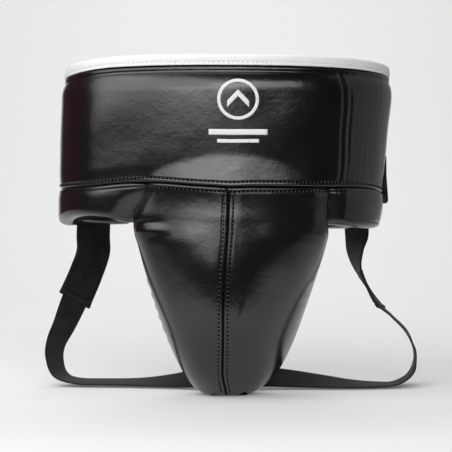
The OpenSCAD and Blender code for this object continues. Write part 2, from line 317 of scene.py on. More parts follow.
def creases(t, z):
    """Creases where the right wing turns from the front, and fine drape lines behind them."""
    tall = smooth((z - 168) / 10) * (1 - smooth((z - 318) / 10))
    line = 49.6 + 0.9 * np.sin((z - 200) / 38) + 0.25 * np.sin(z / 11)
    sharp = -0.5 * bell(t - line, 0.6) + 0.25 * bell(t - line - 1.6, 0.8)
    second = -0.4 * bell(t - line - 3.0, 0.5) * (1 - smooth((z - 292) / 18))
    fine = np.zeros_like(t * z)
    for k in range(11):
        drift = 0.9 * np.sin(z / (23 + 4 * k) + 2 * k) + 0.3 * np.sin(z / (9 + k) + k)
        size = 0.14 + 0.09 * np.sin(z / (17 + 3 * k) + 1.7 * k)
        fine = fine - size * bell(t - 54.5 - 2.3 * k - drift, 0.75)
    return (sharp + second + fine) * tall * mix(0.3, 1, smooth((z - SEAM_Z + 4) / 8))


def band_face(t, z):
    """Offset of the outer face of the upper band."""
    low, high = SEAM_Z + 0.3, top_edge(t) - PAD_ZONE
    v = (z - low) / (high - low)
    front = 1 - smooth((np.abs(t) - 50) / 25)
    flatter = 1.3 * ((z - 258) / 55) ** 2 * smooth((z - 240) / 20) * front
    body = crown_at(t) * swell(t, np.clip(v, 0, 1)) - flatter
    strip = 0.2 * smooth((z - high) / 3) - 0.35 * bell(z - high + 0.5, 1.2)
    strip = strip - 1.3 * smooth((z - top_edge(t) + 13.5) / 3)
    x, _ = plan(t)
    body = body + lean_out(x, z)
    uneven = 0.55 * ripple(x, z, 3, 34) * smooth(v / 0.15) * smooth((1 - v) / 0.15)
    return body + strip + fold_profile(z - low + 0.2) + uneven + creases(t, z)


def wing_roll():
    """Steps of the half turn that carries the cover round a wing's end."""
    return np.linspace(0, math.pi, 9)[1:]


def build_band(material):
    main = np.linspace(-WING_END, WING_END, 620)
    turn = wing_roll()
    low = SEAM_Z + 0.3
    levels = np.concatenate([
        np.linspace(0, 0.085, 17), np.linspace(0.085, 0.86, 54)[1:], np.linspace(0.86, 1.13, 26)[1:],
    ])

    def column(t, a, side):
        z = low + levels * (top_edge(t) - PAD_ZONE - low)
        off = band_face(np.full_like(z, t), z)
        thick = off + depth(t, np.clip(levels, 0, 1))
        step = thick / 2 * np.sin(a) / END_MM_PER_DEGREE
        return on_wall(t + side * step, off - thick / 2 * (1 - np.cos(a)), z)

    columns = [column(-WING_END, a, -1) for a in turn[::-1]]
    columns += [column(t, 0, 1) for t in main]
    columns += [column(WING_END, a, 1) for a in turn]
    outer = warp(np.array(columns))
    inner = outer - normals_of(outer) * COVER_T
    return shell("band_cover", outer, inner, material)


def wall_layer(name, material, t, v, z, offsets, flip=False):
    """A layer between two offsets from the plain wall."""
    outer, inner = [warp(on_wall(t, off(t, v), z)) for off in offsets]
    return shell(name, outer, inner, material, flip)


def build_band_layer(name, material, levels, *offsets):
    t = np.linspace(-WING_END, WING_END, 120)[:, None]
    v = levels[None, :]
    z = SEAM_Z + 0.6 + v * (top_edge(t) - PAD_ZONE - SEAM_Z - 0.6)
    return wall_layer(name, material, t, v, z, offsets)


# ---- hip pads ----

def hip_low(t):
    rise = np.where(np.asarray(t) < 0, 7.5, -3.0)
    arch = rise * sind(180 * np.clip((np.abs(t) - CUP_ANGLE - 3) / 38, 0, 1))
    return HIP_Z + arch + 10 * smooth((np.abs(t) - 129) / (WING_END - 129))


def cup_edge(side, z):
    """Angle at which the cup's cover meets the hip pad; on the left this valley slants inward going up."""
    if side > 0:
        return np.full_like(np.asarray(z, float), 44.8)
    return 45.2 - 6.0 * smooth((z - 172) / 34)


def under_seam(z):
    """0.7 at the waist seam, rising to 1 below it, as the cup and the hip pads part."""
    return 0.7 + 0.3 * smooth((SEAM_Z - z) / 27)


def valley(away, z):
    """The dip where the cup and a hip pad meet, at an angle of away from the line between them."""
    return (-2.4 * bell(away, 3.4) - 1.6 * bell(away, 9)) * under_seam(z)


def hip_face(t, z, side):
    """Offset of the outer face of a hip pad."""
    away = np.abs(t) - cup_edge(side, z)
    v = (SEAM_Z - z) / (SEAM_Z - hip_low(t))
    body = mix(seam_out(t), crown_at(t), 1 - np.clip(1 - v / 0.4, 0, 1) ** 1.8)
    body = body * mix(1, JOINT_OUT + (1 - JOINT_OUT) * smooth(away / 9), under_seam(z))
    body = body - mix(1.0, 3.5, smooth((t - 60) / 15)) * smooth((v - 0.62) / 0.38) ** 2
    x, _ = plan(t)
    uneven = 0.4 * ripple(x, z, 8, 26) * smooth((v - 0.1) / 0.2) * smooth(away / 6)
    return body + valley(away, z) + fold_profile(z - SEAM_Z + 0.3) + uneven + creases(t, z)


def build_hip(name, side, material):
    """The hip pad's cover: down from the seam, round the lower edge and a little way up the inside."""
    f = (np.linspace(0, 1, 280) ** 1.25)[:, None]
    down = np.concatenate([np.linspace(0, 0.19, 14), np.linspace(0.19, 1, 26)[1:]])[None, :]
    turn = np.linspace(0, math.pi, 18)[1:][None, :]
    top = SEAM_Z - 0.3
    t_foot = side * mix(cup_edge(side, HIP_Z), WING_END, f)
    low = hip_low(t_foot)
    hang = (hip_face(t_foot, low, side) + depth(t_foot, 0)) / 2 * 0.62
    z = top + down * (low + hang - top)
    t = side * mix(cup_edge(side, z), WING_END, f)
    face = hip_face(t, z, side)
    full = face[:, -1:]
    t_low = np.repeat(t[:, -1:], turn.shape[1], 1)
    off = full - (full + depth(t_low, 0)) / 2 * (1 - np.cos(turn))
    zz = z[:, -1:] - hang * np.sin(turn)
    t, off, z = [np.concatenate(pair, axis=1) for pair in ((t, t_low), (face, off), (z, zz))]
    # the cover folds round the wing's end to the lining
    end_face = np.concatenate([face, np.repeat(full, turn.shape[1], 1)], axis=1)[-1:]
    middle = end_face / 2 - depth(WING_END, 0) / 2
    half = full[-1, 0] / 2 + depth(WING_END, 0) / 2
    a = wing_roll()[:, None]
    t = np.concatenate([t, t[-1:] + side * half / END_MM_PER_DEGREE * np.sin(a)])
    off = np.concatenate([off, middle + (off[-1:] - middle) * np.cos(a)])
    z = np.concatenate([z, np.repeat(z[-1:], len(a), 0)])
    outer = warp(on_wall(t, off, z))
    inner = outer - normals_of(outer) * COVER_T * side
    return shell(name, outer, inner, material, flip=side < 0)


def build_hip_layer(name, side, material, v0, v1, *offsets):
    t = side * np.linspace(CUP_ANGLE + 4, WING_END - 0.6, 70)[:, None]
    v = np.linspace(v0, v1, 12)[None, :]
    z = SEAM_Z - 0.5 + v * (hip_low(t) - SEAM_Z + 0.5)
    return wall_layer(name, material, t, v, z, offsets, flip=side < 0)


# ---- the cup ----

def cup_z(q):
    """Height on the cup at q, which runs from 0 at the waist seam to 1 at the foot."""
    return CUP_FOOT_Z + CUP_RISE * (1 - q) ** CUP_GRADING


def cup_q(z):
    return 1 - ((z - CUP_FOOT_Z) / CUP_RISE) ** (1 / CUP_GRADING)


def cup_joined(z):
    """0 where the cup stands free, rising to 1 where it follows the band."""
    return smooth((z - CUP_FULL_Z) / (CUP_FADE_Z - CUP_FULL_Z))


def cup_half_w(z):
    return np.minimum(98, CUP_FOOT_W + (CUP_TOP_W - CUP_FOOT_W) * np.sqrt(z / CUP_FULL_Z))


def cup_front(z):
    low = np.minimum(z, CUP_BELLY_Z) / CUP_BELLY_Z
    return -CUP_REACH * (1 - (1 - low) ** 3.4) ** 0.8 + 0.45 * np.log1p(np.exp((z - CUP_BELLY_Z - 5) / 5))


def cup_rim(z):
    return 22 - 46 * smooth((z - 72) / 135)


def cup_in(s, z, t):
    return t * (1 - 0.55 * np.abs(s) ** 3) * (0.45 + 0.55 * smooth(z / 55))


def cup_warp(points, s, z):
    """The cup's seam bows to the left."""
    bow = -11.0 * smooth((z + 6) / 36) * (1 - smooth((z - 90) / 115) * 0.62) - 1.5 * (1 - smooth(z / 30))
    out = points.copy()
    out[..., 0] += bow * (1 - s * s)
    return out


def cup_point(s, q, t):
    """A point of the cup: s runs from -1 at the left edge to 1, and t is the depth under the face."""
    z = cup_z(q)
    d = cup_in(s, z, t)
    across = sind(CUP_SWEEP * s) / sind(CUP_SWEEP)
    turn = ((1 - cosd(CUP_SWEEP * s)) / (1 - cosd(CUP_SWEEP))) ** CUP_SQUARE
    front = cup_front(z) + d
    free = np.stack([(cup_half_w(z) - d) * across, front + (cup_rim(z) - front) * turn], axis=-1)
    edge = np.where(s < 0, cup_edge(-1, z), cup_edge(1, z))
    at_seam = seam_out(edge * s)
    parted = mix(smooth((SEAM_Z - z) / 33), under_seam(z), np.abs(s) ** 6)
    middle = -cup_front(z) - (BAND_HALF_D - BAND_MID_Y)
    bulge = mix(at_seam, mix(middle, JOINT_OUT * at_seam, np.abs(s) ** 1.9), parted)
    bulge = bulge + valley((1 - np.abs(s)) * edge, z)
    wall = on_wall(edge * s, bulge - d, z)[..., :2]
    xy = mix(free, wall, cup_joined(z)[..., None])
    up = z + d * (1 - smooth(z / 60))
    points = np.concatenate([xy, up[..., None]], axis=-1)
    return warp(cup_warp(points, s, z))


def cup_spread(z):
    """Distance across the cup, near its middle, for each unit of s."""
    free = cup_half_w(z) * math.radians(CUP_SWEEP) / sind(CUP_SWEEP)
    wall = BAND_HALF_D * math.radians(43)
    return mix(free, wall, cup_joined(z))


def cup_outward(points):
    """Outward normals of a grid on the cup whose first axis runs to the right."""
    return -normals_of(points)


def cup_face_height(s, q):
    """Height of the cover's face above the plain cup, with its seam, puckers, wrinkles and unevenness."""
    z = cup_z(q)
    x = cup_spread(z) * s
    edge = cup_half_w(z) * (1 - np.abs(s))
    folds = fold_profile(x * 0.85) + fold_profile(z - SEAM_Z + 0.3)
    wave = np.sin(z / 2.1 + 1.6 * np.sin(z / 13)) * bell(edge - 4, 7)
    wave = wave * smooth((z - 48) / 12) * (1 - smooth((z - 112) / 14))
    wrinkle = np.where(s < 0, 0.6, 0.25) * wave
    wrinkle = wrinkle + 0.8 * ripple(x, z, 21, 24) * smooth(edge / 10) * smooth(np.abs(x) / 12)
    left = 0.7 * bell(z - 170 - 0.06 * (x + 80), 3.0) - 0.9 * bell(z - 163 - 0.06 * (x + 80), 4.0)
    right = 0.25 * bell(z - 168 + 0.08 * (x - 80), 2.8) - 0.4 * bell(z - 162 + 0.08 * (x - 80), 3.4)
    wrinkle = wrinkle + left * smooth((-x - 50) / 22) + right * smooth((x - 62) / 20)
    tuft = -0.7 * bell(x - 13 - 0.25 * (z - 70), 2.6) * bell(z - 78, 16)
    detail = folds - (wrinkle + tuft) * (1 - smooth((np.abs(s) - 0.93) / 0.07))
    return COVER_STAND + detail * smooth((1 - q) / 0.03)


def build_cup_cover(name, side, material):
    s = side * np.concatenate([np.linspace(0.002, 0.1, 26), np.linspace(0.1, 1, 110)[1:]])
    q = np.linspace(0, 1, 250)
    sg, qg = np.meshgrid(s, q, indexing="ij")
    base = cup_point(sg, qg, np.zeros_like(sg))
    face = base + side * cup_outward(base) * cup_face_height(sg, qg)[..., None]
    # the cover turns round the rim to the lining
    turn = np.linspace(0, math.pi, 14)[1:]
    z = cup_z(q)
    rim_t = cup_in(np.ones_like(z), z, CUP_T)
    rolled = []
    for a in turn:
        k = (1 - math.cos(a)) / 2
        p = cup_point(np.full_like(q, side), q, CUP_T * k) + (face[-1] - base[-1]) * (1 - k)
        p[:, 1] += rim_t / 2 * math.sin(a) * 0.9 * (1 - cup_joined(z))
        rolled.append(p)
    outer = np.concatenate([face, np.array(rolled)])
    # under the foot the cover closes toward the tail
    foot = outer[:, -1, :]
    rows = []
    for k in (0.3, 0.65, 1.0):
        p = foot.copy()
        p[:, 0] = foot[:, 0] * (1 - 0.55 * k)
        p[:, 1] = mix(foot[:, 1], 15, k)
        p[:, 2] = -0.1
        rows.append(p)
    outer = np.concatenate([outer, np.array(rows).transpose(1, 0, 2)], axis=1)
    inner = outer - side * cup_outward(outer) * COVER_STAND
    return shell(name, outer, inner, material)


def build_cup_layer(name, material, t0, t1, s_end, q0, q1):
    s = np.linspace(-s_end, s_end, 48)
    q = np.linspace(q0, q1, 64)
    sg, qg = np.meshgrid(s, q, indexing="ij")
    outer = cup_point(sg, qg, np.full_like(sg, t0))
    inner = cup_point(sg, qg, np.full_like(sg, t1))
    return shell(name, outer, inner, material, flip=True)


# ---- stitches ----

def add_stitches(verts, faces, points, normals, pitch, length, radius, start, lift):
    """Add a row of thread stitches along a path, each a bead that dips at its ends."""
    run = run_along(points)

    def along(table, at):
        return np.array([np.interp(at, run, table[:, i]) for i in range(3)])

    rings, sides = 7, 8
    for centre in np.arange(start, run[-1] - pitch / 4, pitch):
        faces += tube_faces(rings, sides, len(verts))
        for f in np.linspace(-1, 1, rings):
            at = centre + f * length / 2
            n = along(normals, at)
            d = along(points, at + 0.5) - along(points, at - 0.5)
            w = np.cross(n, d / max(np.linalg.norm(d), 1e-9))
            size = radius * max(1 - abs(f) ** 3, 0.12) ** 0.5
            p = along(points, at) + n * (lift - abs(f) ** 2.5 * radius * 0.9)
            for a in ring_angles(sides):
                verts.append(p + w * size * math.cos(a) * 1.15 + n * size * math.sin(a))


def stitches(name, rows, material, length, radius, pitch=STITCH_PITCH, start_at=None, lift=0.15):
    verts, faces = [], []
    for points, normals in rows:
        add_stitches(verts, faces, points, normals, pitch, length, radius, start_at or pitch / 2, lift)
    return make_object(name, verts, faces, material)


def wall_path(t, off, z):
    """A path on the band, with its outward normals."""
    points = warp(on_wall(t, off, z))
    return points, unit(warp(on_wall(t, off + 1, z)) - points)


def cup_line(s, q):
    """A path across the cup's cover, with its outward normals."""
    grid_q = np.stack([q - 0.002, q, q + 0.002], axis=1)
    grid_s = np.broadcast_to(s[:, None], grid_q.shape)
    base = cup_point(grid_s, grid_q, np.zeros_like(grid_s))
    normal = cup_outward(base)[:, 1]
    return base[:, 1] + normal * cup_face_height(s, q)[:, None], normal


def cup_seam_line(s, q, step):
    """A path of the plain cup up and down, with its outward normals."""
    grid_s = np.stack([s - step, s, s + step])
    grid_q = np.broadcast_to(q, grid_s.shape)
    base = cup_point(grid_s, grid_q, np.zeros_like(grid_s))
    return base[1], cup_outward(base)[1]


def cup_path(offset, q):
    """A path on the cover beside the centre seam, at a distance of offset, with its outward normals."""
    s = offset / cup_spread(cup_z(q))
    plain, normal = cup_seam_line(s, q, 0.004)
    return plain + normal * cup_face_height(s, q)[:, None], normal


# ---- ribbons ----

def curve_points(table, u):
    """Points at u, from 0 to 1, of a smooth curve through every row of the table."""
    table = np.array(table, float)
    n = len(table) - 1
    i = np.minimum((u * n).astype(int), n - 1)
    k = (u * n - i)[:, None]
    a, b = table[np.maximum(i - 1, 0)], table[i]
    c, d = table[i + 1], table[np.minimum(i + 2, n)]
    return 0.5 * (2 * b + (c - a) * k + (2 * a - 5 * b + 4 * c - d) * k * k
                  + (3 * b - a - 3 * c + d) * k ** 3)


def ribbon_frames(route, across, u):
    """Points of a ribbon's route at u, with its directions along, across and out of the ribbon."""
    p = curve_points(route, u)
    d = unit(curve_points(route, np.minimum(u + 0.01, 1)) - curve_points(route, np.maximum(u - 0.01, 0)))
    raw = curve_points(across, u)
    side = unit(raw - d * (raw * d).sum(1, keepdims=True))
    return p, d, side, np.cross(d, side)


def strap_section(width, thick):
    """Points of a flat strap's section, with rounded selvedges."""
    half = width / 2
    w = np.linspace(-1, 1, 22)
    body = np.sign(w) * np.abs(w) ** 0.8 * half
    body[np.abs(body) < 1e-6] = 0
    h = thick / 2 * np.clip(1 - np.abs(body / half) ** 14, 0, 1) ** 0.5
    top = np.stack([body, h], axis=1)
    low = np.stack([body[::-1], -h[::-1]], axis=1)
    return np.concatenate([top[:-1], low[:-1]])


def strap(name, frames, width, thick, material):
    p, d, side, face = frames
    section = strap_section(width, thick)
    n, m = len(p), len(section)
    grid = p[:, None] + side[:, None] * section[:, :1] + face[:, None] * section[:, 1:]
    flat = np.zeros((n, m, 3))
    flat[..., 0] = run_along(p)[:, None]
    flat[..., 1:] = section
    return make_object(name, grid.reshape(-1, 3), tube_faces(n, m), material, flat=flat.reshape(-1, 3))


# each leg strap's centre line from the wing to the cup's tail, and the direction across it there
LEFT_ROUTE = [
    (-144, 131, 159.5), (-144, 129, 140), (-152, 126, 116), (-162.5, 121, 91), (-173.5, 112, 64),
    (-182, 103, 44), (-183, 96, 27), (-176, 89, 11), (-158, 85, 4.6), (-125, 81, 4),
    (-90, 76, 4.4), (-58, 68, 6.8), (-27, 57, 11),
]
LEFT_ACROSS = [
    (0.79, 0.61, 0), (0.79, 0.61, 0), (0.8, 0.6, 0.03), (0.79, 0.61, 0.05), (0.66, 0.75, 0.03),
    (0.52, 0.85, 0), (0.45, 0.89, 0), (0.33, 0.94, 0.06), (0, 0.99, 0.08), (0, 0.99, 0.08),
    (0, 0.985, 0.13), (0, 0.95, 0.28), (0, 0.88, 0.47),
]
RIGHT_ROUTE = [
    (146, 131, 159.5), (144.5, 130, 142), (147.5, 127, 122), (157.5, 122, 101), (168.5, 116, 83),
    (181.5, 110, 71), (194.4, 102, 57), (201, 92, 41), (201, 82, 27), (194, 73, 13),
    (179, 64, 4.4), (160, 59, 2.8), (130, 56, 4), (98, 56, 6.8), (64, 56, 10), (30, 56, 12),
]
RIGHT_ACROSS = [
    (-0.48, 0.88, 0), (-0.3, 0.95, 0), (-0.04, 1, 0), (0.12, 0.99, 0), (0.22, 0.97, 0),
    (0.1, 0.99, 0.05), (0.16, 0.97, 0.05), (0.14, 0.98, 0.05), (0.14, 0.98, 0.05), (0.1, 0.99, 0.02),
    (0.03, 0.99, 0), (0, 0.99, 0.04), (0, 0.98, 0.15), (0, 0.94, 0.31), (0, 0.89, 0.45), (0, 0.84, 0.54),
]
TAB_SHARE = {"left": 0.26, "right": 0.28}
TAB_W = 44
STRAP_W = 34


def box_rows(route, across, start, end):
    """Rows of boxed cross-stitching on both faces of a tab, from start to end along its route."""
    count = 40
    p, _, s, f = ribbon_frames(route, across, np.linspace(start, end, count))
    half = TAB_W / 2 - 4
    k = np.linspace(-1, 1, count)[:, None]
    rows = []
    for sign in (1, -1):
        lift = f * sign * 1.45
        for reach in (half, -half, half * k, -half * k):
            rows.append((p + s * reach + lift, f * sign))
        for at in (0, -1):
            rows.append((p[at] + s[at] * half * k + lift[at], np.repeat(f[at][None] * sign, count, 0)))
    return rows


def build_leg_loop(side_name, side, route, across):
    """A leg's webbing tab, elastic strap, hem and cross-stitching, sewn in behind the wing and the cup."""
    top = np.array(route[0]) + np.array([-side, -1, 22])
    tail = (side * 4, 56, 9.5)
    full_route = [tuple(top)] + list(route) + [tail]
    full_across = [across[0]] + list(across) + [across[-1]]
    n = len(full_route) - 1
    end = (1 + TAB_SHARE[side_name] * (n - 2)) / n

    def frames(u0, u1, count):
        return ribbon_frames(full_route, full_across, np.linspace(u0, u1, count))

    tab = strap(f"leg_tab_{side_name}_webbing", frames(0, end, 60), TAB_W, 2.6, webbing)
    strap_piece = strap(f"leg_strap_{side_name}_elastic", frames(end - 0.12, 1, 190), STRAP_W, 1.7, elastic)
    hem = strap(f"leg_tab_{side_name}_hem", frames(end - 0.012, end, 8), TAB_W + 0.6, 4.4, webbing)
    rows = box_rows(full_route, full_across, end - 0.115, end - 0.018)
    sewn = stitches(f"leg_tab_{side_name}_stitches", rows, black_thread, pitch=2.9, length=2.4, radius=0.34)
    return tab, strap_piece, hem, sewn


# ---- materials ----

def new_material(name):
    material = bpy.data.materials.new(name)
    material.use_nodes = True
    return material, material.node_tree, material.node_tree.nodes["Principled BSDF"]


def set_inputs(tree, node, inputs):
    """Give each of a node's inputs a value, or a link where a socket is given."""
    for key, value in inputs.items():
        if isinstance(value, bpy.types.NodeSocket):
            tree.links.new(value, node.inputs[key])
        else:
            node.inputs[key].default_value = value


def add_node(tree, kind, inputs, **settings):
    node = tree.nodes.new(kind)
    for key, value in settings.items():
        setattr(node, key, value)
    set_inputs(tree, node, inputs)
    return node


def object_coords(tree):
    return tree.nodes.new("ShaderNodeTexCoord").outputs["Object"]


def noise(tree, coords, scale, detail):
    inputs = {"Vector": coords, "Scale": scale, "Detail": detail}
    return add_node(tree, "ShaderNodeTexNoise", inputs).outputs["Fac"]


def ramp(tree, value, low, high, start=0.3, end=0.7):
    inputs = {"Value": value, "From Min": start, "From Max": end, "To Min": low, "To Max": high}
    return add_node(tree, "ShaderNodeMapRange", inputs).outputs["Result"]


def colour_between(tree, value, a, b):
    """The colour a at 0 and b at 1. The mixer's colours are its inputs 6 and 7 and its output 2."""
    inputs = {0: value, 6: (*a, 1), 7: (*b, 1)}
    return add_node(tree, "ShaderNodeMix", inputs, data_type="RGBA").outputs[2]


def math_node(tree, operation, *values):
    return add_node(tree, "ShaderNodeMath", dict(enumerate(values)), operation=operation).outputs[0]


def times(tree, a, b):
    return math_node(tree, "MULTIPLY", a, b)


def plus(tree, a, b):
    return math_node(tree, "ADD", a, b)


def bump(tree, height, strength, distance, **under):
    """A bumped normal. An earlier one that it goes over is passed as Normal."""
    inputs = {"Height": height, "Strength": strength, "Distance": distance, **under}
    return add_node(tree, "ShaderNodeBump", inputs).outputs["Normal"]


def leather_material(name, dark, light, rough_low, rough_high, gloss=0.5):
    material, tree, shader = new_material(name)
    coords = object_coords(tree)
    patch = noise(tree, coords, 14, 4)
    blotch = plus(tree, times(tree, patch, 0.6), times(tree, noise(tree, coords, 420, 3), 0.4))
    cells = add_node(tree, "ShaderNodeTexVoronoi", {"Vector": coords, "Scale": 900}, feature="SMOOTH_F1")
    grain = bump(tree, cells.outputs["Distance"], 0.12, 0.0002)
    grain = bump(tree, noise(tree, coords, 320, 3), 0.14, 0.0005, Normal=grain)
    set_inputs(tree, shader, {
        "Base Color": colour_between(tree, ramp(tree, patch, 0, 1), dark, light),
        "Roughness": ramp(tree, blotch, rough_low, rough_high),
        "Normal": bump(tree, noise(tree, coords, 75, 4), 0.21, 0.0012, Normal=grain),
        "Specular IOR Level": gloss,
    })
    return material


def cloth_material(name, dark, light, warp_pitch, weft_pitch, depth_m, sheen=0.15, rough=0.85, gloss=0.25):
    """A woven strap or cloth. Its threads follow the mesh's flat coordinates."""
    material, tree, shader = new_material(name)
    attribute = add_node(tree, "ShaderNodeAttribute", {}, attribute_name="flat")
    split = add_node(tree, "ShaderNodeSeparateXYZ", {0: attribute.outputs["Vector"]})
    along = math_node(tree, "SINE", times(tree, split.outputs["X"], 2 * math.pi / warp_pitch))
    cross = math_node(tree, "SINE", times(tree, split.outputs["Y"], 2 * math.pi / weft_pitch))
    weave = plus(tree, times(tree, along, cross), times(tree, cross, 0.6))
    coords = object_coords(tree)
    fuzz = noise(tree, coords, 900, 2)
    height = plus(tree, times(tree, weave, 0.3), fuzz)
    tone = plus(tree, times(tree, weave, 0.18), noise(tree, coords, 60, 4))
    set_inputs(tree, shader, {
        "Base Color": colour_between(tree, ramp(tree, tone, 0, 1), dark, light),
        "Roughness": ramp(tree, fuzz, rough - 0.08, rough + 0.08),
        "Normal": bump(tree, height, 0.7, depth_m),
        "Sheen Weight": sheen,
        "Sheen Roughness": 0.4,
        "Specular IOR Level": gloss,
    })
    return material


def pile_material(name, dark, light, scale, depth_m):
    """Hook or loop tape: a field of fine points or loops."""
    material, tree, shader = new_material(name)
    coords = object_coords(tree)
    cells = add_node(tree, "ShaderNodeTexVoronoi", {"Vector": coords, "Scale": scale})
    tone = plus(tree, cells.outputs["Distance"], noise(tree, coords, scale / 2, 3))
    set_inputs(tree, shader, {
        "Base Color": colour_between(tree, ramp(tree, tone, 0, 1, 0.4, 1.1), light, dark),
        "Roughness": ramp(tree, tone, 0.7, 0.95, 0.4, 1.1),
        "Normal": bump(tree, cells.outputs["Distance"], 0.9, depth_m),
        "Sheen Weight": 0.3,
    })
    return material


black_leather = leather_material(
    "black leather", (0.0035, 0.0033, 0.0037), (0.006, 0.0057, 0.0063), 0.14, 0.27, gloss=0.75)
# A lighter, glossier copy of the black leather: painted highlight on the raised puckers between the
# stitches.
highlit_pucker_leather = leather_material(
    "puckered leather with painted highlight", (0.004, 0.004, 0.0045), (0.008, 0.008, 0.009), 0.3, 0.4, gloss=1.0)
white_leather = leather_material("white leather", (0.87, 0.87, 0.86), (0.94, 0.94, 0.93), 0.36, 0.5)
seam_dark = leather_material(
    "seam shadow leather", (0.0008, 0.0008, 0.0009), (0.0015, 0.0015, 0.0016), 0.5, 0.65, gloss=0.05)
# Thread painted nearly black and without gloss: painted shade of the stitches sunk in their needle holes.
shaded_sunk_thread = leather_material(
    "sunk thread with painted shade", (0.0006, 0.0006, 0.0007), (0.0012, 0.0012, 0.0013), 0.8, 0.9, gloss=0.0)
white_ink = leather_material("white print", (0.78, 0.78, 0.78), (0.86, 0.86, 0.86), 0.4, 0.55)
rigid_plastic = leather_material("moulded shell", (0.30, 0.31, 0.33), (0.36, 0.37, 0.39), 0.4, 0.5)

webbing = cloth_material(
    "black webbing", (0.006, 0.006, 0.0075), (0.02, 0.02, 0.023), 0.0021, 0.0017, 0.0004)
elastic = cloth_material(
    "black elastic", (0.005, 0.005, 0.006), (0.017, 0.017, 0.02), 0.0011, 0.0024, 0.0005)
closure_cloth = cloth_material(
    "closure cloth", (0.008, 0.009, 0.014), (0.02, 0.022, 0.032), 0.0013, 0.0013, 0.0003)
lining_cloth = cloth_material(
    "lining cloth", (0.008, 0.008, 0.009), (0.02, 0.02, 0.022), 0.0009, 0.0009, 0.0002,
    sheen=0.1, rough=0.7)
black_thread = cloth_material(
    "black thread", (0.003, 0.003, 0.0033), (0.008, 0.008, 0.009), 0.0008, 0.0008, 0.0001,
    sheen=0.0, rough=0.55, gloss=0.12)
white_thread = cloth_material(
    "white thread", (0.62, 0.62, 0.6), (0.82, 0.82, 0.8), 0.0008, 0.0008, 0.0001,
    sheen=0.1, rough=0.6)

hook_tape = pile_material("hook tape", (0.006, 0.006, 0.007), (0.03, 0.03, 0.034), 700, 0.0008)
loop_tape = pile_material("loop tape", (0.006, 0.006, 0.007), (0.024, 0.024, 0.027), 1100, 0.0006)
foam_material = pile_material("closed-cell foam", (0.5, 0.46, 0.36), (0.68, 0.64, 0.54), 500, 0.0003)


# ---- the pieces ----

def place(obj, slot, *nodes, body="guard"):
    """Put a piece on its body and hide the CAD nodes it stands for. slot is not used."""
    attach(obj, body)
    if nodes:
        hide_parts(*nodes)
    return obj


band = place(build_band(black_leather), "black_leather", "waist_outer_cover")
for side_name, sign in (("left", -1), ("right", 1)):
    hip = build_hip(f"hip_{side_name}_cover", sign, black_leather)
    place(hip, "black_leather", f"hip_cover_{side_name}")
    half_cup = build_cup_cover(f"cup_{side_name}_cover", sign, black_leather)
    place(half_cup, "black_leather", f"cup_cover_{side_name}")

place(build_band_layer(
    "band_foam", foam_material, np.linspace(0.03, 0.93, 14),
    lambda t, v: crown_at(t) * swell(t, v) * 0.75 - 2.6 - 0.8 * fullness(t),
    lambda t, v: -depth(t, v) + LINING + 0.4), "foam", "waist_foam")
place(build_band_layer(
    "band_lining", lining_cloth, np.linspace(0, 1.11, 30),
    lambda t, v: -depth(t, np.minimum(v, 1)) + LINING,
    lambda t, v: -depth(t, np.minimum(v, 1))), "lining_fabric", "waist_lining")

# each layer's depths under the cup's face, then its reach in s and its ends in q
for name, material, depths, reach, slot, node in (
    ("cup_foam_pad", foam_material, (4.2, 11.4), (0.93, 0.06, 0.95), "foam", "cup_foam"),
    ("cup_rigid_shell", rigid_plastic, (11.7, 14.6), (0.75, 0.19, 0.875), "rigid_shell", "cup_shell"),
    ("cup_back_pad", foam_material, (14.9, 21.4), (0.96, 0.02, 0.97), "foam", "cup_inner_pad"),
    ("cup_back_lining", lining_cloth, (21.7, 23.0), (1.0, 0.0, 0.995), "lining_fabric", "cup_lining"),
):
    place(build_cup_layer(name, material, *depths, *reach), slot, node)

for side_name, sign in (("left", -1), ("right", 1)):
    place(build_hip_layer(
        f"hip_{side_name}_foam", sign, foam_material, 0.08, 0.86,
        lambda t, v: crown_at(t) * 0.5 - 4.4 - 2.5 * v ** 4,
        lambda t, v: -depth(t, 0) + LINING + 0.8 + 2.5 * v ** 4), "foam", f"hip_foam_{side_name}")
    place(build_hip_layer(
        f"hip_{side_name}_lining", sign, lining_cloth, 0.0, 0.9,
        lambda t, v: -depth(t, 0) + LINING,
        lambda t, v: -depth(t, 0) - 0.2), "lining_fabric", f"hip_lining_{side_name}")


def binding_outline():
    """The binding's section as (offset, height) points, up the front, over the top and down the back."""
    span = EDGE_T + 2 * BINDING_OUT
    straight = BINDING_H - BINDING_ROUND
    outline = []
    for k in np.linspace(0, 1, 9):
        outline.append((BINDING_OUT - 0.25 * (1 - k) ** 3, -BINDING_H + k * straight))
    for a in np.linspace(0, math.pi, 15)[1:-1]:
        across = BINDING_OUT - span / 2 * (1 - math.cos(a))
        outline.append((across, -BINDING_ROUND + BINDING_ROUND * math.sin(a) ** 0.8))
    for k in np.linspace(1, 0, 9):
        outline.append((BINDING_OUT - span + 0.25 * (1 - k) ** 3, -BINDING_H + k * straight))
    return np.array(outline)


